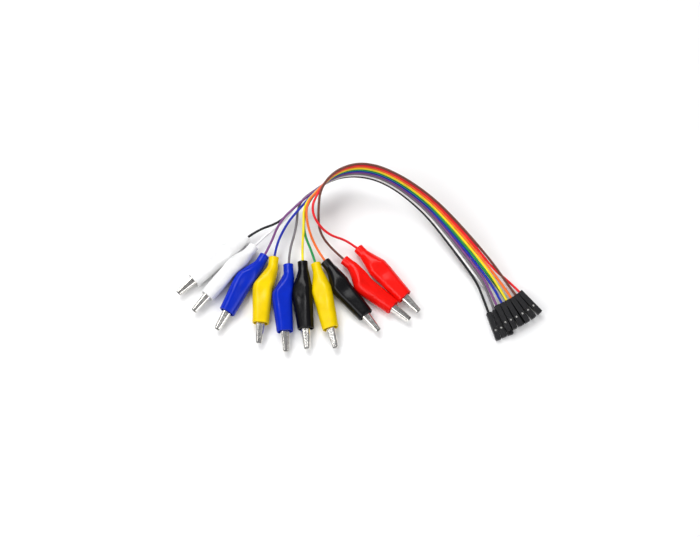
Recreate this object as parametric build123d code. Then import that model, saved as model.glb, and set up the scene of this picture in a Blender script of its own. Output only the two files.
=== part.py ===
from build123d import *
import math
import os

# Ten-way test lead: ten insulated mini alligator clips on one end of a rainbow ribbon,
# ten single-pin socket housings (2.54 mm pitch) on the other.
# Millimetres, +Z up, lying on its surface at z = 0. The origin is under the middle of
# the box around the clips and the housings.

# ---- wire and ribbon -------------------------------------------------------------
WIRE_DIA = 1.2
PITCH = 1.27                 # wire to wire in the ribbon
WIRES = ("brown", "red", "orange", "yellow", "green",
         "blue", "purple", "grey", "white", "black")
ARC_SHARE = 0.45             # share of the shorter run that an arc of a route takes up

# ---- socket housing: x from the wire end to the mating end, z up ------------------
HOUSING_LEN = 14.0
HOUSING_SIDE = 2.5
HOUSING_EDGE = 0.12
CAVITY_SIDE = 1.9
HOUSING_FRONT = 1.0          # thickness of the mating face
PIN_HOLE = 0.9               # square hole for a 0.64 mm header pin
WINDOW_AT = 9.3              # latch window, from the wire end
WINDOW_LEN, WINDOW_WIDTH = 1.3, 1.2
SOCKET_SIDE, SOCKET_WALL = 1.6, 0.2
SOCKET_X = (6.6, 12.7)       # contact box
CRIMP_X = (3.0, 5.6)         # crimp barrel
CRIMP_RADIUS = 0.65
LOW, HIGH = 1.27, 3.85       # housing centre heights: on the surface, and on another housing
APPROACH = 6.5               # last corner of a wire's route, outside its housing
WIRE_IN_HOUSING = 2.0

# ---- alligator clip: x to the jaw tips, pivot at x = 0, z to the lever side -------
TIP = 17.1
SHEET = 0.4                  # steel thickness
BACK_X = -2.2                # where a jaw's channel ends and its tail begins
LEVER_RISE, HANDLE_RISE = 2.9, 2.6      # a jaw's back above the seam, at BACK_X
LEVER_WIDTH, HANDLE_WIDTH = 2.3, 1.8    # half widths there: the crimped jaw sits inside
NOSE_RISE, NOSE_WIDTH = 1.5, 1.5        # a jaw's back and half width where its blunt end starts
NOSE_TAPER = 0.6
END_RISE, END_WIDTH = 0.95, 1.0         # the same at the very tip
BACK_ROUND = 1.05
EAR_RADIUS = 1.4
EAR_INSET = 0.15             # the crimped jaw's ears stand this far inside its walls
PIN_RADIUS, PIN_HEAD_RADIUS, PIN_HEAD = 0.6, 1.0, 0.4
PIN_PLAY = 0.06
SIDE_PLAY = 0.08
TOOTH_PITCH, TOOTH_HEIGHT, TEETH = 1.5, 0.8, 8
TOOTH_GAP = 0.12
FIRST_TOOTH = 3.5
PIVOT_CUT = 0.3              # the walls near the pin stop this far from the seam
LEVER_TAIL = ((-8.6, 4.2),)
HANDLE_TAIL = ((-6.0, 2.6), (-9.8, 1.9), (-12.5, 1.9))
LEVER_TAIL_WIDTH, HANDLE_TAIL_WIDTH = 1.6, 0.9
BARREL_X, BARREL_Z = (-13.0, -10.3), -1.0     # crimp barrel round the conductor
BARREL_RADIUS = 0.95
CONDUCTOR_DIA = 0.7
CONDUCTOR_PLAY = 0.02
SPRING_WIRE, SPRING_RADIUS, SPRING_PITCH = 0.45, 1.25, 0.5
SPRING_TURNS = 4
SPRING_LEGS = ((-6.2, 3.0), (-5.6, -1.85))    # leg ends, on the lever and on the handle

# ---- boot ------------------------------------------------------------------------
MOUTH = 7.3
NECK_START, NECK_END = -21.2, -26.3
NECK_RADIUS, NECK_BORE = 2.34, 0.66
BOOT_WALL = 0.65
BELLY = -9.2
BELLY_WIDE, BELLY_NARROW, BELLY_SHIFT = 4.85, 4.0, 0.7
MOUTH_WIDE, MOUTH_NARROW = 3.75, 3.55
CAVITY_END = -20.0
# x, half size on the opening axis, half size across, shift to the lever side,
# share of the neck's sideways set
BOOT_SECTIONS = (
    (NECK_START, NECK_RADIUS, NECK_RADIUS, 0.0, 1.0),
    (-19.8, 2.5, 2.45, 0.03, 0.96),
    (-18.3, 2.9, 2.7, 0.12, 0.8),
    (-16.5, 3.45, 3.05, 0.28, 0.55),
    (-14.3, 4.1, 3.45, 0.45, 0.25),
    (-12.0, 4.6, 3.8, 0.6, 0.06),
    (BELLY, BELLY_WIDE, BELLY_NARROW, BELLY_SHIFT, 0.0),
    (-5.5, 4.65, 3.88, 0.6, 0.0),
    (0.0, 4.25, 3.73, 0.3, 0.0),
    (MOUTH, MOUTH_WIDE, MOUTH_NARROW, 0.0, 0.0),
)
WIRE_START = -19.5           # the insulated wire begins inside the neck
WIRE_CORNER = -31.0          # the first corner of its route, behind the neck

# boot colour, wire, pivot x, pivot y, heading, roll (0 = lever up), neck set to the left
CLIPS = (
    ("white", "black", -74.7, 10.7, -137.0, 80.0, 1.0),
    ("white", "white", -68.5, 3.3, -129.0, -10.0, 1.0),
    ("blue", "purple", -59.9, -4.0, -118.0, 70.0, 1.8),
    ("yellow", "blue", -46.5, -8.8, -94.0, 85.0, 3.2),
    ("blue", "grey", -35.8, -12.9, -86.5, 75.0, 3.0),
    ("black", "yellow", -26.0, -11.5, -85.5, 105.0, 0.6),
    ("yellow", "green", -15.6, -11.6, -75.0, -75.0, 1.3),
    ("black", "orange", -1.4, -6.3, -52.0, 90.0, 1.2),
    ("red", "brown", 10.65, -3.3, -40.0, 70.0, 3.2),
    ("red", "red", 16.9, 2.4, -47.0, -80.0, 0.6),
)

# each wire's two route points between its clip and the ribbon: near the clip, near the ribbon
FAN = {
    "brown": ((-19.5, 28.1, 8.0), (-19.85, 37.2, 16.3)),
    "red": ((-16.5, 26.6, 11.5), (-23.95, 36.9, 16.7)),
    "orange": ((-25.0, 30.1, 9.5), (-26.0, 40.6, 16.0)),
    "yellow": ((-27.0, 30.6, 10.0), (-27.0, 40.6, 14.5)),
    "green": ((-27.5, 29.6, 8.0), (-26.0, 40.6, 13.0)),
    "blue": ((-35.5, 32.6, 9.5), (-28.0, 41.1, 12.0)),
    "purple": ((-39.0, 33.6, 9.8), (-29.5, 42.6, 11.7)),
    "grey": ((-30.5, 31.6, 7.5), (-30.0, 44.1, 9.5)),
    "white": ((-37.0, 34.6, 7.0), (-30.0, 45.1, 8.0)),
    "black": ((-38.5, 35.1, 5.5), (-30.0, 45.1, 6.5)),
}

# stations of the bonded ribbon, clip end first: centre, then heading and rise of its
# width, which points to the brown edge
RIBBON = (
    ((-19.5, 49.6, 14.5), 285.0, 62.0),
    ((-12.0, 56.1, 15.5), 240.0, 80.0),
    ((-2.0, 58.6, 16.5), 90.0, 82.0),
    ((8.0, 57.1, 16.5), 75.0, 78.0),
    ((17.5, 52.6, 16.0), 55.0, 75.0),
    ((26.5, 46.6, 14.5), 45.0, 68.0),
    ((35.5, 39.1, 12.5), 38.0, 60.0),
    ((44.5, 29.1, 10.0), 34.0, 48.0),
    ((53.0, 18.6, 7.8), 33.0, 34.0),
    ((61.0, 8.1, 5.5), 36.0, 18.0),
)
# wires that cross another on the way to their housing: how far each has risen by the last station
PARTING = {"brown": 0.45, "red": -0.3, "grey": 0.15, "white": -0.75}

# wire, wire-end x, y, centre height, heading, height of the wire's last corner
HOUSINGS = (
    ("black", 62.0, -10.1, LOW, -72.5, 1.6),
    ("grey", 64.7, -8.8, LOW, -72.0, 2.55),
    ("white", 67.5, -7.7, LOW, -70.0, 1.3),
    ("purple", 65.7, -7.1, HIGH, -67.0, 4.4),
    ("blue", 68.2, -6.0, HIGH, -66.0, 4.3),
    ("green", 71.0, -3.9, LOW, -61.0, 1.3),
    ("yellow", 70.6, -4.7, HIGH, -63.0, 4.2),
    ("orange", 72.9, -3.4, HIGH, -59.0, 4.1),
    ("brown", 75.0, -2.0, HIGH, -54.0, 5.15),
    ("red", 77.0, -0.4, HIGH, -48.5, 3.75),
)


def direction(heading, rise=0.0):
    h, r = math.radians(heading), math.radians(rise)
    return Vector(math.cos(r) * math.cos(h), math.cos(r) * math.sin(h), math.sin(r))


def plate(outline, half, y=0.0):
    """An outline in x and z, as a plate of half thickness `half` about that y."""
    return Pos(0, y, 0) * extrude(Plane.XZ * make_face(Polyline(*outline, close=True)), half, both=True)


def cross_rod(radius, half):
    return extrude(Plane.XZ * Circle(radius), half, both=True)


def rod(x0, x1, radius, z=0.0):
    return extrude(Plane(origin=(x0, 0, z), z_dir=(1, 0, 0)) * Circle(radius), x1 - x0)


def route_arcs(points):
    """The radius of the arc at each inner point of a route."""
    radii = []
    for before, here, after in zip(points, points[1:], points[2:]):
        into, out = here - before, after - here
        half_turn = math.radians(into.get_angle(out)) / 2
        radii.append(ARC_SHARE * min(into.length, out.length) / math.tan(half_turn))
    return radii


def tube(points, diameter, label=""):
    """Straight runs joined by tangent arcs, as a solid rod."""
    points = [Vector(*p) for p in points]
    radii = route_arcs(points)
    path = FilletPolyline(*points, radius=radii)
    section = Plane(origin=path @ 0, z_dir=path % 0) * Circle(diameter / 2)
    solid = sweep(section, path=path)
    if label:
        share = solid.volume / (math.pi * diameter ** 2 / 4 * path.length)
        print(f"{label}: length {path.length:.1f}, least radius {min(radii):.1f}, volume share {share:.4f}")
    return solid


# ---- jaws --------------------------------------------------------------------------
def seam(first):
    """The toothed edge of a jaw whose back is up; first is +1 for a gap, -1 for a tooth."""
    points = [(FIRST_TOOTH + i * TOOTH_PITCH / 2, first * (-1) ** i * TOOTH_HEIGHT / 2 + TOOTH_GAP / 2)
              for i in range(2 * TEETH + 1)]
    return points + [(points[-1][0] + TOOTH_PITCH / 4, TOOTH_GAP / 2)]


def jaw_block(rise, half_width, inset):
    """The solid under a jaw's back; the one with an inset is the hollow inside it."""
    nose = TIP - inset
    side = [(BACK_X, rise - inset), (nose - NOSE_TAPER, NOSE_RISE - inset), (nose, END_RISE - inset / 2),
            (nose, -2), (BACK_X, -2)]
    half = [(BACK_X, half_width - inset), (nose - NOSE_TAPER, NOSE_WIDTH - inset), (nose, END_WIDTH - inset / 2)]
    plan = Polyline(*half, *[(x, -y) for x, y in reversed(half)], close=True)
    block = plate(side, 4) & extrude(make_face(plan), 5, both=True)
    ridge = [e for e in block.edges() if e.bounding_box().size.X > 10 and e.center().Z > 0.8]
    return fillet(ridge, BACK_ROUND - 0.7 * inset)


def jaw(rise, half_width, ear_width, tail, tail_width, first):
    """A stamped jaw with its back up: channel, teeth, ears round the pin, and tail."""
    body = jaw_block(rise, half_width, 0) - jaw_block(rise, half_width, SHEET)
    edge = [(BACK_X - 1, 1.3), (-1.5, 1.3), (-1.2, PIVOT_CUT), (FIRST_TOOTH - 1, PIVOT_CUT)]
    body -= plate([(BACK_X - 1, -4)] + edge + seam(first) + [(TIP + 1, TOOTH_GAP / 2), (TIP + 1, -4)], 4)
    body += cross_rod(EAR_RADIUS, ear_width) - cross_rod(EAR_RADIUS + 1, ear_width - SHEET)
    top = [(BACK_X + 0.6, rise - 0.09), (BACK_X, rise)] + list(tail)
    strip = plate(top + [(x, z - SHEET) for x, z in reversed(top)], half_width)
    end = tail[-1][0]
    taper = tail[0][0] if len(tail) == 1 else tail[1][0]
    half = [(BACK_X + 1, half_width), (BACK_X, half_width), (taper, tail_width), (end - 0.01, tail_width)]
    plan = Polyline(*half, *[(x, -y) for x, y in reversed(half)], close=True)
    return body + (strip & extrude(make_face(plan), 8, both=True))


def moving_jaw():
    body = jaw(LEVER_RISE, LEVER_WIDTH, LEVER_WIDTH, LEVER_TAIL, LEVER_TAIL_WIDTH, 1)
    return body - cross_rod(PIN_RADIUS + PIN_PLAY, 4)


def fixed_jaw():
    body = jaw(HANDLE_RISE, HANDLE_WIDTH, HANDLE_WIDTH - EAR_INSET, HANDLE_TAIL, HANDLE_TAIL_WIDTH, -1)
    body = mirror(body, about=Plane.XY)
    body -= cross_rod(PIN_RADIUS + 0.01, 4)
    body += rod(*BARREL_X, BARREL_RADIUS, BARREL_Z)
    return body - rod(BARREL_X[0] - 1, BARREL_X[1] + 1, CONDUCTOR_DIA / 2 + CONDUCTOR_PLAY, BARREL_Z)


def pivot_pin():
    reach = LEVER_WIDTH + SIDE_PLAY
    heads = cross_rod(PIN_HEAD_RADIUS, reach + PIN_HEAD) - cross_rod(PIN_HEAD_RADIUS + 1, reach)
    return cross_rod(PIN_RADIUS, reach + PIN_HEAD) + heads


def torsion_spring():
    """A coil round the pin, with one leg back along the lever and one along the handle."""
    angles = []
    for (x, z), side in zip(SPRING_LEGS, (-1, 1)):
        spread = math.degrees(math.acos(SPRING_RADIUS / math.hypot(x, z)))
        angles.append(math.degrees(math.atan2(z, x)) % 360 + side * spread)
    turns = SPRING_TURNS + (angles[0] - angles[1]) / 360
    width = turns * SPRING_PITCH
    start = direction(angles[0])
    frame = Plane(origin=(0, width / 2, 0), x_dir=(start.X, 0, start.Y), z_dir=(0, -1, 0))
    coil = frame.location * Helix(SPRING_PITCH, width, SPRING_RADIUS, lefthand=True)
    section = Circle(SPRING_WIRE / 2)
    spring = sweep(Plane(origin=coil @ 0, z_dir=coil % 0) * section, path=coil, is_frenet=True)
    for at, way, (x, z) in ((0, -1, SPRING_LEGS[0]), (1, 1, SPRING_LEGS[1])):
        foot = coil @ at
        leg = math.hypot(x - foot.X, z - foot.Z)
        spring += extrude(Plane(origin=foot, z_dir=(coil % at) * way) * section, leg)
    return spring


# ---- boot --------------------------------------------------------------------------
def boot(neck):
    """A hollow sleeve; neck is its neck's set (y, z) off the clip's axis."""
    def skin(inset):
        faces = []
        for x, wide, narrow, shift, share in BOOT_SECTIONS:
            centre = (x, neck[0] * share, shift + neck[1] * share)
            faces.append(Plane(origin=centre, x_dir=(0, 1, 0), z_dir=(1, 0, 0))
                         * Ellipse(narrow - inset, wide - inset))
        return loft(faces, ruled=True)

    outer = skin(0) + Pos(0, neck[0], neck[1]) * rod(NECK_END, NECK_START, NECK_RADIUS)
    keep = Pos(CAVITY_END, 0, 0) * Box(60, 30, 30, align=(Align.MIN, Align.CENTER, Align.CENTER))
    body = outer - (skin(BOOT_WALL) & keep)
    body -= Pos(0, neck[0], neck[1]) * rod(NECK_END - 1, CAVITY_END + 0.5, NECK_BORE)
    return body


# ---- clip in place -----------------------------------------------------------------
def clip_stance(roll):
    """Height of the pivot and nose-down slope of a clip that lies on its belly and mouth."""
    c, s = math.cos(math.radians(roll)), math.sin(math.radians(roll))
    belly = math.hypot(BELLY_WIDE * c, BELLY_NARROW * s) - BELLY_SHIFT * c
    mouth = math.hypot(MOUTH_WIDE * c, MOUTH_NARROW * s)
    slope = (belly - mouth) / (MOUTH - BELLY)
    return mouth + slope * MOUTH, slope


def clip_place(x, y, heading, roll):
    height, slope = clip_stance(roll)
    return (Pos(x, y, height) * Rot(0, 0, heading)
            * Rot(0, math.degrees(math.atan(slope)), 0) * Rot(roll, 0, 0))


def neck_set(roll, side):
    """A sideways set on the surface, seen in the rolled clip's own y and z."""
    return side * math.cos(math.radians(roll)), -side * math.sin(math.radians(roll))


def conductor(neck):
    y, z = neck
    return tube([(BARREL_X[1] - 0.3, 0, BARREL_Z), (BARREL_X[0] - 2.0, 0, BARREL_Z),
                 (-17.0, y, z), (WIRE_START, y, z)], CONDUCTOR_DIA)


# ---- socket housing ----------------------------------------------------------------
def housing():
    at_back = (Align.MIN, Align.CENTER, Align.CENTER)
    body = Box(HOUSING_LEN, HOUSING_SIDE, HOUSING_SIDE, align=at_back)
    body = chamfer(body.edges(), HOUSING_EDGE)
    body -= Pos(-1, 0, 0) * Box(HOUSING_LEN - HOUSING_FRONT + 1, CAVITY_SIDE, CAVITY_SIDE, align=at_back)
    body -= Box(HOUSING_LEN + 1, PIN_HOLE, PIN_HOLE, align=at_back)
    return body - Pos(WINDOW_AT, 0, HOUSING_SIDE / 2) * Box(WINDOW_LEN, WINDOW_WIDTH, 1.0)


def socket_terminal():
    x0, x1 = SOCKET_X
    at_back = (Align.MIN, Align.CENTER, Align.CENTER)
    inside = SOCKET_SIDE - 2 * SOCKET_WALL
    box = Pos(x0, 0, 0) * Box(x1 - x0, SOCKET_SIDE, SOCKET_SIDE, align=at_back)
    box -= Pos(x0 - 1, 0, 0) * Box(x1 - x0 + 2, inside, inside, align=at_back)
    barrel = rod(*CRIMP_X, CRIMP_RADIUS) - rod(0, HOUSING_LEN, CONDUCTOR_DIA / 2 + CONDUCTOR_PLAY)
    strap_x = CRIMP_X[1] - 0.3
    strap = Pos(strap_x, 0, -SOCKET_SIDE / 2) * Box(
        x0 + 0.3 - strap_x, 0.9, 0.32, align=(Align.MIN, Align.CENTER, Align.MIN))
    return box + barrel + strap


def socket_conductor():
    return rod(WIRE_IN_HOUSING, CRIMP_X[1] - 0.2, CONDUCTOR_DIA / 2)


def housing_place(x, y, z, heading):
    return Pos(x, y, z) * Rot(0, 0, heading)


# ---- wires -------------------------------------------------------------------------
def wire_route(index):
    """A wire's corners, from inside its boot's neck to inside its housing."""
    name = WIRES[index]
    _, _, x, y, heading, roll, side = next(c for c in CLIPS if c[1] == name)
    place = clip_place(x, y, heading, roll)
    neck_y, neck_z = neck_set(roll, side)
    points = [(place * Pos(at, neck_y, neck_z)).position for at in (WIRE_START, WIRE_CORNER)]
    points += [Vector(*p) for p in FAN[name]]
    offset = ((len(WIRES) - 1) / 2 - index) * PITCH
    points += [Vector(*centre) + direction(turn, rise) * offset for centre, turn, rise in RIBBON]
    points[-1] += Vector(0, 0, PARTING.get(name, 0.0))
    _, x, y, z, heading, corner_height = next(h for h in HOUSINGS if h[0] == name)
    back, ahead = Vector(x, y, z), direction(heading)
    corner = back - ahead * APPROACH
    points.append(Vector(corner.X, corner.Y, corner_height))
    points.append(back + ahead * WIRE_IN_HOUSING)
    return points


# ---- all the parts -----------------------------------------------------------------
nodes = {}
groups = {"pivot_pins": [], "torsion_springs": [], "clip_conductors": [],
          "socket_terminals": [], "socket_conductors": []}

lever_jaw, crimped_jaw, pin, spring = moving_jaw(), fixed_jaw(), pivot_pin(), torsion_spring()
for number, (colour, wire, x, y, heading, roll, side) in enumerate(CLIPS, 1):
    place = clip_place(x, y, heading, roll)
    neck = neck_set(roll, side)
    nodes[f"boot_{number:02d}_{colour}"] = place * boot(neck)
    nodes[f"moving_jaw_{number:02d}"] = place * lever_jaw
    nodes[f"crimped_jaw_{number:02d}"] = place * crimped_jaw
    groups["pivot_pins"].append(place * pin)
    groups["torsion_springs"].append(place * spring)
    groups["clip_conductors"].append(place * conductor(neck))

for number, (wire, x, y, z, heading, _) in enumerate(HOUSINGS, 1):
    place = housing_place(x, y, z, heading)
    nodes[f"housing_{number:02d}"] = place * housing()
    groups["socket_terminals"].append(place * socket_terminal())
    groups["socket_conductors"].append(place * socket_conductor())

for name, solids in groups.items():
    nodes[name] = Compound(solids)

boxes = [shape.bounding_box() for shape in nodes.values()]
low = [min(tuple(b.min)[i] for b in boxes) for i in range(3)]
high = [max(tuple(b.max)[i] for b in boxes) for i in range(3)]
print("clips and housings, lowest and highest corners:",
      [round(v, 3) for v in low], [round(v, 3) for v in high])

for index, wire in enumerate(WIRES):
    nodes[f"wire_{wire}"] = tube(wire_route(index), WIRE_DIA, wire)

os.makedirs("parts", exist_ok=True)
for name, shape in nodes.items():
    export_step(shape, f"parts/{name}.step")
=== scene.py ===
import math

import bpy
import numpy as np
from mathutils import Matrix, Vector


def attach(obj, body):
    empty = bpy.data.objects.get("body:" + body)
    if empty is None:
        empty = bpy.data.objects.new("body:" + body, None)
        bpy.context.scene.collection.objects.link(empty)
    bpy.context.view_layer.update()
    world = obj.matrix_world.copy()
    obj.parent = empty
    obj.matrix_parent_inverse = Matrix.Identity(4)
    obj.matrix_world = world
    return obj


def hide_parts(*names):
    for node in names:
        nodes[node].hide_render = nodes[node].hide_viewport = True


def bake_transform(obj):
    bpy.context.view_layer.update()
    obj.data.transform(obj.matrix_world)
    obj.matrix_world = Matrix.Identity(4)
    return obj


# Looks of the ten-way alligator clip lead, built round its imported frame. Sizes in the
# tables are millimetres and angles are degrees, as in the part's source; MM turns
# millimetres into metres.
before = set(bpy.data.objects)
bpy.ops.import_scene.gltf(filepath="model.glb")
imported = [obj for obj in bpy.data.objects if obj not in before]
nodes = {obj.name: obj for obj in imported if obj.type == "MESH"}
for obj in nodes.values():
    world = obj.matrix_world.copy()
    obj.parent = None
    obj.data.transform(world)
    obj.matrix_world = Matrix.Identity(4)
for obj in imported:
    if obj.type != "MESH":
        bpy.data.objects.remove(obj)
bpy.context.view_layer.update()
MM = 0.001
LEAD = "lead"                # the body that everything but the moving jaws belongs to

# ---- camera's place ------------------------------------------------------------------
LOOK_AT = Vector((-4.5, 13.1, 0.0)) * MM
VIEW_ELEVATION = math.radians(70.0)
VIEW_DISTANCE = 537.0 * MM
LENS, SENSOR = 56.57, 36.0   # millimetres

# ---- wires: the route that the part's source gives them -------------------------------
WIRE_DIA = 1.2
PITCH = 1.27
WIRES = ("brown", "red", "orange", "yellow", "green",
         "blue", "purple", "grey", "white", "black")
LOW, HIGH = 1.27, 3.85       # centre heights of the two rows of housings
APPROACH = 6.5               # from a wire's last corner to its housing
WIRE_IN_HOUSING = 2.0
WIRE_START, WIRE_CORNER = -19.5, -31.0     # along its clip, in the neck and behind it

# ---- boot and clip sizes that place things in the clip's own frame ---------------------
MOUTH, NECK_START, NECK_END, CAVITY_END = 7.3, -21.2, -26.3, -20.0
BELLY = -9.2
BELLY_WIDE, BELLY_NARROW, BELLY_SHIFT = 4.85, 4.0, 0.7
MOUTH_WIDE, MOUTH_NARROW = 3.75, 3.55
NECK_BORE = 0.66

# boot colour, wire, pivot x, pivot y, heading, roll (0 = lever up), neck's set to the left
CLIPS = (
    ("white", "black", -74.7, 10.7, -137.0, 80.0, 1.0),
    ("white", "white", -68.5, 3.3, -129.0, -10.0, 1.0),
    ("blue", "purple", -59.9, -4.0, -118.0, 70.0, 1.8),
    ("yellow", "blue", -46.5, -8.8, -94.0, 85.0, 3.2),
    ("blue", "grey", -35.8, -12.9, -86.5, 75.0, 3.0),
    ("black", "yellow", -26.0, -11.5, -85.5, 105.0, 0.6),
    ("yellow", "green", -15.6, -11.6, -75.0, -75.0, 1.3),
    ("black", "orange", -1.4, -6.3, -52.0, 90.0, 1.2),
    ("red", "brown", 10.65, -3.3, -40.0, 70.0, 3.2),
    ("red", "red", 16.9, 2.4, -47.0, -80.0, 0.6),
)

# each wire's two route points between its clip and the ribbon, the one near the clip first
FAN = {
    "brown": ((-19.5, 28.1, 8.0), (-19.85, 37.2, 16.3)),
    "red": ((-16.5, 26.6, 11.5), (-23.95, 36.9, 16.7)),
    "orange": ((-25.0, 30.1, 9.5), (-26.0, 40.6, 16.0)),
    "yellow": ((-27.0, 30.6, 10.0), (-27.0, 40.6, 14.5)),
    "green": ((-27.5, 29.6, 8.0), (-26.0, 40.6, 13.0)),
    "blue": ((-35.5, 32.6, 9.5), (-28.0, 41.1, 12.0)),
    "purple": ((-39.0, 33.6, 9.8), (-29.5, 42.6, 11.7)),
    "grey": ((-30.5, 31.6, 7.5), (-30.0, 44.1, 9.5)),
    "white": ((-37.0, 34.6, 7.0), (-30.0, 45.1, 8.0)),
    "black": ((-38.5, 35.1, 5.5), (-30.0, 45.1, 6.5)),
}

# stations of the bonded ribbon, clip end first: centre, then heading and rise of its
# width, which points to the brown edge
RIBBON = (
    ((-19.5, 49.6, 14.5), 285.0, 62.0),
    ((-12.0, 56.1, 15.5), 240.0, 80.0),
    ((-2.0, 58.6, 16.5), 90.0, 82.0),
    ((8.0, 57.1, 16.5), 75.0, 78.0),
    ((17.5, 52.6, 16.0), 55.0, 75.0),
    ((26.5, 46.6, 14.5), 45.0, 68.0),
    ((35.5, 39.1, 12.5), 38.0, 60.0),
    ((44.5, 29.1, 10.0), 34.0, 48.0),
    ((53.0, 18.6, 7.8), 33.0, 34.0),
    ((61.0, 8.1, 5.5), 36.0, 18.0),
)
# how far a wire that crosses another has risen by the last station
PARTING = {"brown": 0.45, "red": -0.3, "grey": 0.15, "white": -0.75}

# wire, wire-end x, y, centre height, heading, height of the wire's last corner
HOUSINGS = (
    ("black", 62.0, -10.1, LOW, -72.5, 1.6),
    ("grey", 64.7, -8.8, LOW, -72.0, 2.55),
    ("white", 67.5, -7.7, LOW, -70.0, 1.3),
    ("purple", 65.7, -7.1, HIGH, -67.0, 4.4),
    ("blue", 68.2, -6.0, HIGH, -66.0, 4.3),
    ("green", 71.0, -3.9, LOW, -61.0, 1.3),
    ("yellow", 70.6, -4.7, HIGH, -63.0, 4.2),
    ("orange", 72.9, -3.4, HIGH, -59.0, 4.1),
    ("brown", 75.0, -2.0, HIGH, -54.0, 5.15),
    ("red", 77.0, -0.4, HIGH, -48.5, 3.75),
)


def clip_of(wire):
    """The clip's x, y, heading, roll and neck set."""
    return next(clip[2:] for clip in CLIPS if clip[1] == wire)


def direction(heading, rise=0.0):
    h, r = math.radians(heading), math.radians(rise)
    return Vector((math.cos(r) * math.cos(h), math.cos(r) * math.sin(h), math.sin(r)))


def clip_frame(x, y, heading, roll):
    """The clip's own frame, in millimetres: x to the jaw tips, z to the lever side."""
    c, s = math.cos(math.radians(roll)), math.sin(math.radians(roll))
    belly = math.hypot(BELLY_WIDE * c, BELLY_NARROW * s) - BELLY_SHIFT * c
    mouth = math.hypot(MOUTH_WIDE * c, MOUTH_NARROW * s)
    slope = (belly - mouth) / (MOUTH - BELLY)
    return (Matrix.Translation((x, y, mouth + slope * MOUTH))
            @ Matrix.Rotation(math.radians(heading), 4, "Z")
            @ Matrix.Rotation(math.atan(slope), 4, "Y")
            @ Matrix.Rotation(math.radians(roll), 4, "X"))


def neck_set(roll, side):
    """The neck's sideways set on the surface, seen in the rolled clip's own y and z."""
    return side * math.cos(math.radians(roll)), -side * math.sin(math.radians(roll))


# ---- camera --------------------------------------------------------------------------
def make_camera():
    data = bpy.data.cameras.new("camera")
    data.lens, data.sensor_width = LENS, SENSOR
    data.clip_start, data.clip_end = 0.01, 10.0
    camera = bpy.data.objects.new("camera", data)
    bpy.context.scene.collection.objects.link(camera)
    away = Vector((0.0, -math.cos(VIEW_ELEVATION), math.sin(VIEW_ELEVATION)))
    camera.location = LOOK_AT + away * VIEW_DISTANCE
    camera.rotation_euler = (-away).to_track_quat("-Z", "Y").to_euler()
    bpy.context.scene.camera = camera


make_camera()


# ---- cords ---------------------------------------------------------------------------
POINTS_PER_RUN = 12          # of a centreline, from one control point to the next


def wire_route(index):
    """A wire's corners, from inside its boot's neck to inside its housing, in millimetres."""
    name = WIRES[index]
    x, y, heading, roll, side = clip_of(name)
    place = clip_frame(x, y, heading, roll)
    neck_y, neck_z = neck_set(roll, side)
    points = [place @ Vector((at, neck_y, neck_z)) for at in (WIRE_START, WIRE_CORNER)]
    points += [Vector(p) for p in FAN[name]]
    offset = ((len(WIRES) - 1) / 2 - index) * PITCH
    points += [Vector(centre) + direction(turn, rise) * offset
               for centre, turn, rise in RIBBON]
    points[-1] += Vector((0, 0, PARTING.get(name, 0.0)))
    _, x, y, z, heading, corner_height = next(h for h in HOUSINGS if h[0] == name)
    back, ahead = Vector((x, y, z)), direction(heading)
    corner = back - ahead * APPROACH
    points.append(Vector((corner.x, corner.y, corner_height)))
    points.append(back + ahead * WIRE_IN_HOUSING)
    return points


def spline_curve(name, points, radius):
    """A smooth open spline with those control points, round if it has a radius."""
    data = bpy.data.curves.new(name, "CURVE")
    data.dimensions = "3D"
    spline = data.splines.new("NURBS")
    spline.points.add(len(points) - 1)
    for control, point in zip(spline.points, points):
        control.co = (*(point * MM), 1.0)
        control.radius = radius * MM
    spline.order_u = 3
    spline.use_endpoint_u = True
    spline.resolution_u = POINTS_PER_RUN
    data.bevel_depth = 1.0 if radius > 0 else 0.0    # times each point's own radius
    data.bevel_resolution = 5
    data.use_fill_caps = radius > 0
    made = bpy.data.objects.new(name, data)
    bpy.context.scene.collection.objects.link(made)
    return made


def centreline(points):
    """The smooth line that a wire follows, as points in millimetres."""
    bare = spline_curve("bare_line", points, 0.0)
    mesh = bpy.data.meshes.new_from_object(bare)
    line = [v.co / MM for v in mesh.vertices]
    data = bare.data
    bpy.data.objects.remove(bare)
    bpy.data.curves.remove(data)
    bpy.data.meshes.remove(mesh)
    return line


wire_objects = {}
lines = {}
for index, wire in enumerate(WIRES):
    route = wire_route(index)
    lines[wire] = centreline(route)
    piece = spline_curve(f"insulated_wire_{wire}", route, WIRE_DIA / 2)
    number = next(n for n, h in enumerate(HOUSINGS, 1) if h[0] == wire)
    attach(piece, LEAD)
    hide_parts(f"wire_{wire}")
    wire_objects[wire] = piece


# ---- mesh helpers --------------------------------------------------------------------
def soft_profile(x, corners, reach):
    """A profile's value at x, with its corners rounded over twice the reach."""
    xs, values = zip(*corners)
    window = np.linspace(-reach, reach, 9)
    return float(np.mean(np.interp(x + window, xs, values)))


def smoothstep(t):
    t = min(1.0, max(0.0, t))
    return t * t * (3 - 2 * t)


def ring_mesh(name, rings, closed):
    """A mesh of quads between rings of equally many points, in metres."""
    count = len(rings[0])
    mesh = bpy.data.meshes.new(name)
    pairs = list(zip(range(len(rings)), range(1, len(rings))))
    if closed:
        pairs.append((len(rings) - 1, 0))
    faces = [(a * count + k, a * count + (k + 1) % count,
              b * count + (k + 1) % count, b * count + k)
             for a, b in pairs for k in range(count)]
    mesh.from_pydata([p for ring in rings for p in ring], [], faces)
    mesh.polygons.foreach_set("use_smooth", [True] * len(mesh.polygons))
    made = bpy.data.objects.new(name, mesh)
    bpy.context.scene.collection.objects.link(made)
    return made


# ---- boots ---------------------------------------------------------------------------
BOOT_WALL = 0.65
AROUND = 96                  # points round a boot
SQUARENESS = 16              # how tightly the flat sides round into the cone
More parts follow.
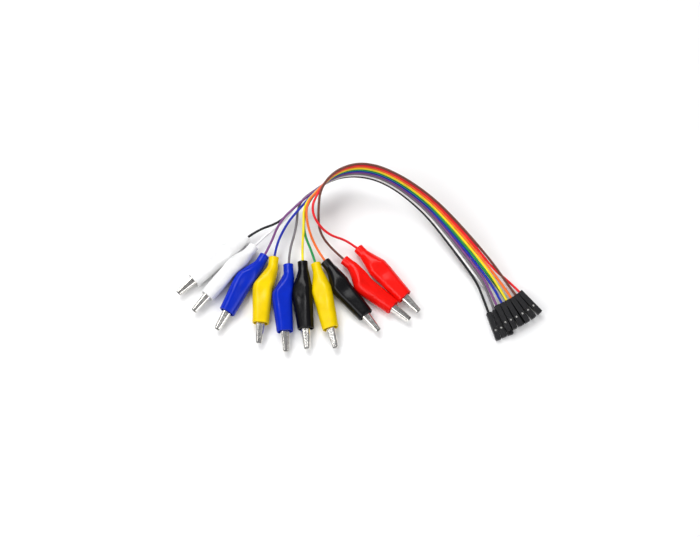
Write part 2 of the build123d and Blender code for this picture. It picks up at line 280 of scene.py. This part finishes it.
# (x, size) corners of the cone, of the flat sides, of the centre's rise and of the share
# of the neck's set that the centre has, and how far along x each corner is rounded
ROUND_PROFILE = ((NECK_END, 2.45), (-22.2, 2.45), (-12.6, 5.0), (MOUTH, 3.95))
ROUND_EASE = 0.5
FLAT_PROFILE = ((NECK_END, 4.3), (-15.0, 4.0), (-12.0, 3.85), (MOUTH, 3.55))
FLAT_EASE = 0.6
SHIFT_PROFILE = ((-21.0, 0.0), (-12.0, 0.62), (BELLY, BELLY_SHIFT), (-5.5, 0.6),
                 (0.0, 0.3), (MOUTH, 0.0))
SHIFT_EASE = 1.0
NECK_SHARE = ((NECK_END, 1.0), (-21.0, 1.0), (-11.0, 0.0), (MOUTH, 0.0))
NECK_EASE = 1.4
DENT_X, DENT_LENGTH, DENT_DEPTH = -8.0, 3.4, 0.35    # hollow in the flat sides
WAVE, WAVE_DEPTH, WAVE_START = 5.0, 0.05, 6          # the moulding's slight unevenness
LIP, INNER_LIP = 0.3, 0.25   # radii of the mouth's two edges
NECK_EDGE, CAVITY_SET = 0.15, 0.8    # from the neck's end and the mouth to their next rings
NECK_RINGS, BODY_RINGS, CAVITY_RINGS = 9, 80, 22
FLOOR_GAP = 0.02


def boot_centre(x, neck):
    share = soft_profile(x, NECK_SHARE, NECK_EASE)
    return neck[0] * share, soft_profile(x, SHIFT_PROFILE, SHIFT_EASE) + neck[1] * share


def boot_radius(x, turn, number):
    """The outer skin's distance from its centre, at an angle from the lever side."""
    round_size = soft_profile(x, ROUND_PROFILE, ROUND_EASE)
    flat_size = soft_profile(x, FLAT_PROFILE, FLAT_EASE)
    across = abs(math.sin(turn))
    radius = ((round_size ** -SQUARENESS + (across / flat_size) ** SQUARENESS)
              ** (-1 / SQUARENESS))
    dent = DENT_DEPTH * math.exp(-((x - DENT_X) / DENT_LENGTH) ** 2) * across ** 3
    wave = math.sin(x / WAVE * 2 + number) * math.cos(2 * turn + number * 1.7) * WAVE_DEPTH
    return radius - dent + wave * smoothstep((x - NECK_START) / WAVE_START)


def boot_rings(neck, number):
    """Rings once round the wall: outer skin, lip, cavity, bore and neck face."""
    turns = [2 * math.pi * k / AROUND for k in range(AROUND)]
    neck_size = ROUND_PROFILE[0][1]

    def skin(x, inset):
        cy, cz = boot_centre(x, neck)
        return [(x, cy + (boot_radius(x, t, number) - inset) * math.sin(t),
                 cz + (boot_radius(x, t, number) - inset) * math.cos(t)) for t in turns]

    def pipe(x, radius):
        cy, cz = boot_centre(x, neck)
        return [(x, cy + radius * math.sin(t), cz + radius * math.cos(t)) for t in turns]

    neck_end, cavity_start = NECK_END + NECK_EDGE, MOUTH - CAVITY_SET
    rings = [skin(x, 0.0) for x in np.linspace(neck_end, NECK_START, NECK_RINGS)]
    rings += [skin(x, 0.0) for x in np.linspace(NECK_START, MOUTH - LIP, BODY_RINGS)[1:]]
    rings += [skin(MOUTH - LIP + LIP * math.sin(a), LIP * (1 - math.cos(a)))
              for a in np.radians((30, 60, 90))]
    rings += [skin(MOUTH - INNER_LIP + INNER_LIP * math.cos(a),
                   BOOT_WALL - INNER_LIP * (1 - math.sin(a)))
              for a in np.radians((0, 30, 60, 90))]
    rings += [skin(x, BOOT_WALL) for x in np.linspace(cavity_start, CAVITY_END, CAVITY_RINGS)]
    rings += [pipe(x, NECK_BORE)
              for x in (CAVITY_END - 0.01, (CAVITY_END + NECK_END) / 2, NECK_END + 0.06)]
    rings += [pipe(NECK_END + 0.01, NECK_BORE + 0.04),
              pipe(NECK_END, NECK_BORE + 0.12),
              pipe(NECK_END, (NECK_BORE + neck_size) / 2),
              pipe(NECK_END, neck_size - 0.16),
              pipe(NECK_END + 0.02, neck_size - 0.08),
              pipe(NECK_END + 0.07, neck_size - 0.02)]
    return rings


CLIP_PLACES = [clip_frame(*clip[2:6]) for clip in CLIPS]
BOOT_REACH = 6.5             # farther than this from a clip's axis, nothing is in its boot
CONTACT_GAP = 0.01


def pressed(point, number):
    """A point of a boot, moved out of the neighbouring boots' skins by half of what they share."""
    for other in (number - 1, number + 1):
        if not 1 <= other <= len(CLIPS):
            continue
        place = CLIP_PLACES[other - 1]
        at = place.inverted() @ point
        if not NECK_END < at.x < MOUTH or math.hypot(at.y, at.z) > BOOT_REACH:
            continue
        cy, cz = boot_centre(at.x, neck_set(*CLIPS[other - 1][5:]))
        away = Vector((0, at.y - cy, at.z - cz))
        depth = boot_radius(at.x, math.atan2(away.y, away.z), other) - away.length
        if depth > 0:
            point = place @ (at + away.normalized() * (depth / 2 + CONTACT_GAP))
    return point


def make_boot(number, clip):
    colour = clip[0]
    place = CLIP_PLACES[number - 1]
    rings = []
    for ring in boot_rings(neck_set(*clip[5:]), number):
        points = [pressed(place @ Vector(p), number) for p in ring]
        rings.append([(p.x * MM, p.y * MM, max(p.z, FLOOR_GAP) * MM) for p in points])
    boot = ring_mesh(f"vinyl_boot_{number:02d}", rings, closed=True)
    boot.data.materials.append(VINYL[colour])
    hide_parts(f"boot_{number:02d}_{colour}")
    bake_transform(boot)


# ---- materials -----------------------------------------------------------------------
class Shader:
    """A principled material, with short names for the nodes that feed it."""

    def __init__(self, name):
        self.material = bpy.data.materials.new(name)
        self.material.use_nodes = True
        self.tree = self.material.node_tree
        self.bsdf = self.tree.nodes["Principled BSDF"]
        coordinates = self.tree.nodes.new("ShaderNodeTexCoord")
        self.place = coordinates.outputs["Object"]

    def set(self, **values):
        for key, value in values.items():
            self.bsdf.inputs[key.replace("_", " ")].default_value = value

    def link(self, output, socket):
        self.tree.links.new(output, self.bsdf.inputs[socket])

    def noise(self, size_mm, detail=3.0, stretch=(1, 1, 1)):
        """A noise value with features about that size."""
        mapping = self.tree.nodes.new("ShaderNodeMapping")
        mapping.inputs["Scale"].default_value = [s / (size_mm * MM) for s in stretch]
        self.tree.links.new(self.place, mapping.inputs["Vector"])
        node = self.tree.nodes.new("ShaderNodeTexNoise")
        node.inputs["Scale"].default_value = 1.0
        node.inputs["Detail"].default_value = detail
        node.inputs["Roughness"].default_value = 0.55
        self.tree.links.new(mapping.outputs["Vector"], node.inputs["Vector"])
        return node.outputs["Fac"]

    def ramp(self, value, low, high, start=0.3, end=0.7):
        """The value from start to end, mapped to the two colours."""
        node = self.tree.nodes.new("ShaderNodeValToRGB")
        first, last = node.color_ramp.elements
        first.position, last.position = start, end
        first.color, last.color = (*low, 1.0), (*high, 1.0)
        self.tree.links.new(value, node.inputs["Fac"])
        return node.outputs["Color"]

    def spread(self, value, low, high, start=0.3, end=0.7):
        """The value from start to end, mapped to a number from low to high."""
        node = self.tree.nodes.new("ShaderNodeMapRange")
        ends = {"From Min": start, "From Max": end, "To Min": low, "To Max": high}
        for socket, number in ends.items():
            node.inputs[socket].default_value = number
        self.tree.links.new(value, node.inputs["Value"])
        return node.outputs["Result"]

    def bump(self, value, height_mm, under=None):
        node = self.tree.nodes.new("ShaderNodeBump")
        node.inputs["Distance"].default_value = height_mm * MM
        node.inputs["Strength"].default_value = 1.0
        self.tree.links.new(value, node.inputs["Height"])
        if under is not None:
            self.tree.links.new(under, node.inputs["Normal"])
        return node.outputs["Normal"]

    def open_air(self, reach_mm):
        """1 on an open surface, down to 0 deep in a crevice of about that size."""
        node = self.tree.nodes.new("ShaderNodeAmbientOcclusion")
        node.samples = 8
        node.inputs["Distance"].default_value = reach_mm * MM
        return node.outputs["AO"]

    def mixed(self, share, first, second):
        """From the first colour to the second one's output, as the share goes from 0 to 1."""
        node = self.tree.nodes.new("ShaderNodeMix")
        node.data_type, node.blend_type = "RGBA", "MIX"
        self.tree.links.new(share, node.inputs[0])
        node.inputs[6].default_value = (*first, 1.0)
        self.tree.links.new(second, node.inputs[7])
        return node.outputs[2]


def tone(colour, factor):
    """The colour, that much brighter."""
    return tuple(min(1.0, c * factor) for c in colour)


def vinyl(name, colour):
    """Soft dip-moulded PVC: glossy, with a faint orange peel and slightly duller patches."""
    s = Shader(name)
    s.link(s.ramp(s.noise(6.0), tone(colour, 0.9), tone(colour, 1.06)), "Base Color")
    s.link(s.spread(s.noise(2.2), 0.17, 0.25), "Roughness")
    fine = s.bump(s.noise(0.5, detail=1.0), 0.002)
    s.link(s.bump(s.noise(2.4, detail=1.0), 0.03, under=fine), "Normal")
    s.set(IOR=1.3)
    return s.material


def insulation(name, colour):
    """Extruded PVC insulation: satin, with faint lengthwise unevenness."""
    s = Shader(name)
    s.link(s.ramp(s.noise(4.0), tone(colour, 0.86), tone(colour, 1.08)), "Base Color")
    s.link(s.spread(s.noise(1.0), 0.32, 0.45), "Roughness")
    s.link(s.bump(s.noise(0.4, detail=2.0), 0.006), "Normal")
    s.set(IOR=1.4)
    return s.material


def nickel(name, colour=(0.88, 0.86, 0.82), dull=(0.1, 0.22)):
    """Bright nickel plate on pressed steel: clouded, with painted shade darkening the crevices
    between the teeth and other tight spots.
    """
    s = Shader(name)
    plate = s.ramp(s.noise(1.8, detail=4.0), tone(colour, 0.8), tone(colour, 1.08), 0.32, 0.6)
    # painted shade: the base colour goes to near black wherever ambient occlusion finds a crevice
    unshaded_share = s.spread(s.open_air(0.8), 0.0, 1.0, 0.45, 0.9)
    s.link(s.mixed(unshaded_share, (0.03, 0.026, 0.022), plate), "Base Color")
    s.link(s.spread(s.noise(0.9, detail=5.0), *dull), "Roughness")
    s.link(s.bump(s.noise(0.3, detail=2.0), 0.0015), "Normal")
    s.set(Metallic=1.0)
    return s.material


def nylon(name):
    """Black moulded nylon: satin, spark-eroded grain, a little dust on it."""
    s = Shader(name)
    dust = s.noise(0.5, detail=5.0)
    s.link(s.ramp(dust, (0.004, 0.004, 0.005), (0.014, 0.014, 0.016), 0.35, 0.75),
           "Base Color")
    s.link(s.spread(s.noise(0.8), 0.3, 0.45), "Roughness")
    s.link(s.bump(s.noise(0.11, detail=2.0), 0.005), "Normal")
    s.set(IOR=1.38)
    return s.material


def copper(name):
    """Bare copper strands: bright, with fine grooves."""
    s = Shader(name)
    s.link(s.ramp(s.noise(0.5), (0.62, 0.26, 0.13), (0.86, 0.44, 0.26)), "Base Color")
    s.link(s.bump(s.noise(0.1, stretch=(1, 1, 0.3)), 0.03), "Normal")
    s.set(Metallic=1.0, Roughness=0.28)
    return s.material


VINYL_COLOURS = {
    "white": (0.86, 0.86, 0.86), "blue": (0.001, 0.022, 0.48), "yellow": (0.84, 0.59, 0.0),
    "black": (0.003, 0.003, 0.004), "red": (0.87, 0.006, 0.003),
}
WIRE_COLOURS = {
    "brown": (0.15, 0.045, 0.03), "red": (0.85, 0.01, 0.02), "orange": (0.95, 0.17, 0.02),
    "yellow": (0.92, 0.78, 0.01), "green": (0.005, 0.27, 0.06), "blue": (0.004, 0.02, 0.4),
    "purple": (0.2, 0.06, 0.22), "grey": (0.18, 0.165, 0.18), "white": (0.84, 0.84, 0.84),
    "black": (0.006, 0.006, 0.008),
}
VINYL = {name: vinyl(f"vinyl_{name}", colour) for name, colour in VINYL_COLOURS.items()}
INSULATION = {name: insulation(f"insulation_{name}", colour)
              for name, colour in WIRE_COLOURS.items()}
NICKEL = nickel("nickel_plate")
SPRING_STEEL = nickel("spring_steel", (0.5, 0.49, 0.47), (0.2, 0.4))
TIN = nickel("tin_plate", (0.93, 0.92, 0.88), (0.2, 0.35))
NYLON = nylon("moulded_nylon")
COPPER = copper("copper_strand")

for wire, piece in wire_objects.items():
    piece.data.materials.append(INSULATION[wire])
for number, clip in enumerate(CLIPS, 1):
    make_boot(number, clip)


# ---- pressed and moulded parts: the CAD shapes, with their edges broken ----------------
def finish_cad(node, material, edge_mm):
    piece = nodes[node]
    piece.data.materials.clear()
    piece.data.materials.append(material)
    weld = piece.modifiers.new("weld", "WELD")
    weld.merge_threshold = 1e-6
    bevel = piece.modifiers.new("broken_edges", "BEVEL")
    bevel.width = edge_mm * MM
    bevel.segments = 2
    bevel.limit_method = "ANGLE"
    bevel.angle_limit = math.radians(40)
    piece.modifiers.new("even_shading", "WEIGHTED_NORMAL").keep_sharp = True


for number in range(1, len(CLIPS) + 1):
    finish_cad(f"moving_jaw_{number:02d}", NICKEL, 0.1)
    finish_cad(f"crimped_jaw_{number:02d}", NICKEL, 0.1)
    finish_cad(f"housing_{number:02d}", NYLON, 0.04)
finish_cad("pivot_pins", NICKEL, 0.08)
finish_cad("socket_terminals", TIN, 0.03)
finish_cad("clip_conductors", COPPER, 0.05)
finish_cad("socket_conductors", COPPER, 0.05)


# ---- springs -------------------------------------------------------------------------
SPRING_WIRE, SPRING_RADIUS, SPRING_PITCH, SPRING_TURNS = 0.45, 1.25, 0.5, 4
SPRING_LEGS = ((-6.2, 3.0), (-5.6, -1.85))    # leg ends (x, z), on the lever and the handle
SPRING_STEPS = 140           # points along the coil


def spring_line():
    """A coil round the pin with its two legs, as points in the clip's frame."""
    angles = []
    for (x, z), side in zip(SPRING_LEGS, (-1, 1)):
        spread = math.acos(SPRING_RADIUS / math.hypot(x, z))
        angles.append(math.atan2(z, x) % (2 * math.pi) + side * spread)
    turns = SPRING_TURNS + (angles[0] - angles[1]) / (2 * math.pi)
    width = turns * SPRING_PITCH
    coil = []
    for step in np.linspace(0, 1, SPRING_STEPS):
        angle = angles[0] - 2 * math.pi * turns * step
        coil.append(Vector((SPRING_RADIUS * math.cos(angle), width * (0.5 - step),
                            SPRING_RADIUS * math.sin(angle))))
    (x0, z0), (x1, z1) = SPRING_LEGS
    return [Vector((x0, width / 2, z0)), *coil, Vector((x1, -width / 2, z1))]


def make_spring(number):
    place = CLIP_PLACES[number - 1]
    data = bpy.data.curves.new("spring_line", "CURVE")
    data.dimensions = "3D"
    points = [place @ p * MM for p in spring_line()]
    spline = data.splines.new("POLY")
    spline.points.add(len(points) - 1)
    for control, point in zip(spline.points, points):
        control.co = (*point, 1.0)
    data.bevel_depth = SPRING_WIRE / 2 * MM
    data.bevel_resolution = 3
    data.use_fill_caps = True
    helper = bpy.data.objects.new("spring_line", data)
    bpy.context.scene.collection.objects.link(helper)
    mesh = bpy.data.meshes.new_from_object(helper)
    bpy.data.objects.remove(helper)
    bpy.data.curves.remove(data)
    spring = bpy.data.objects.new(f"coil_spring_{number:02d}", mesh)
    bpy.context.scene.collection.objects.link(spring)
    mesh.materials.append(SPRING_STEEL)
    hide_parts("torsion_springs")
    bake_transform(spring)


for number in range(1, len(CLIPS) + 1):
    make_spring(number)

# ---- the skin that bonds the ribbon's wires ------------------------------------------
BONDED_FROM, BONDED_TO = 3.6, 12.4    # in runs of the wires' routes
WEB_THICK, WEB_INSET = 0.5, 0.15
WEB_WAIST = 0.55             # a web's thickness at its middle, as a share of the edges'
WEB_TAPER = 6                # points along, at each end
WEB_STEPS = 9                # points round a web's section


def make_web(left, right):
    """A thin saddle in the groove between two wires, as long as they are bonded."""
    a, b = lines[left], lines[right]
    first, last = int(BONDED_FROM * POINTS_PER_RUN), int(BONDED_TO * POINTS_PER_RUN)
    rings = []
    for k in range(first, last + 1):
        along = (a[k + 1] - a[k - 1]).normalized()
        across = b[k] - a[k]
        across -= along * across.dot(along)
        width = across.length
        across.normalize()
        normal = along.cross(across)
        taper = min(1.0, (k - first) / WEB_TAPER, (last - k) / WEB_TAPER)
        middle = (a[k] + b[k]) / 2
        reach = width / 2 - WEB_INSET
        ring = []
        for turn in np.linspace(0, 2 * math.pi, WEB_STEPS, endpoint=False):
            thick = (WEB_THICK / 2 * taper
                     * (WEB_WAIST + (1 - WEB_WAIST) * math.cos(turn) ** 2))
            ring.append((middle + across * reach * math.cos(turn)
                         + normal * thick * math.sin(turn)) * MM)
        rings.append(ring)
    web = ring_mesh(f"ribbon_web_{left}_{right}", rings, closed=False)
    web.data.materials.append(INSULATION[left])
    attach(web, LEAD)


for left, right in zip(WIRES, WIRES[1:]):
    make_web(left, right)


# ---- stage and light -----------------------------------------------------------------
FLOOR_HALF = 3.0             # metres, from the middle to an edge
LIGHT_SIZE = 0.6             # metres
LIGHT_TARGET = (0.0, 0.01, 0.0)


def make_stage():
    mesh = bpy.data.meshes.new("floor")
    half = FLOOR_HALF
    corners = [(-half, -half, 0), (half, -half, 0), (half, half, 0), (-half, half, 0)]
    mesh.from_pydata(corners, [], [(0, 1, 2, 3)])
    floor = bpy.data.objects.new("floor", mesh)
    bpy.context.scene.collection.objects.link(floor)
    s = Shader("pale_floor")
    s.link(s.ramp(s.noise(40.0), (0.9, 0.9, 0.9), (0.93, 0.93, 0.93)), "Base Color")
    s.set(Roughness=0.6)
    mesh.materials.append(s.material)


def area_light(name, place, energy):
    """A square light at that place, in metres, aimed at the lead."""
    data = bpy.data.lights.new(name, "AREA")
    data.size = LIGHT_SIZE
    data.energy = energy
    light = bpy.data.objects.new(name, data)
    bpy.context.scene.collection.objects.link(light)
    light.location = place
    aim = Vector(LIGHT_TARGET) - Vector(place)
    light.rotation_euler = aim.to_track_quat("-Z", "Y").to_euler()


def make_world():
    """Pale overhead and dim at the horizon, so that bright metal has something dark to mirror."""
    world = bpy.data.worlds.new("studio")
    bpy.context.scene.world = world
    world.use_nodes = True
    tree = world.node_tree
    split = tree.nodes.new("ShaderNodeSeparateXYZ")
    coordinates = tree.nodes.new("ShaderNodeTexCoord")
    tree.links.new(coordinates.outputs["Generated"], split.inputs["Vector"])
    ramp = tree.nodes.new("ShaderNodeValToRGB")
    horizon, overhead = ramp.color_ramp.elements
    horizon.position, overhead.position = 0.25, 0.75
    horizon.color, overhead.color = (0.14, 0.14, 0.145, 1.0), (0.3, 0.3, 0.31, 1.0)
    tree.links.new(split.outputs["Z"], ramp.inputs["Fac"])
    tree.links.new(ramp.outputs["Color"], tree.nodes["Background"].inputs["Color"])


make_stage()
make_world()
area_light("key", (-0.25, 0.45, 0.75), 5.6)
area_light("right_fill", (0.55, -0.35, 0.65), 2.8)
area_light("left_fill", (-0.55, -0.3, 0.65), 3.6)
bpy.context.scene.view_settings.view_transform = "Standard"
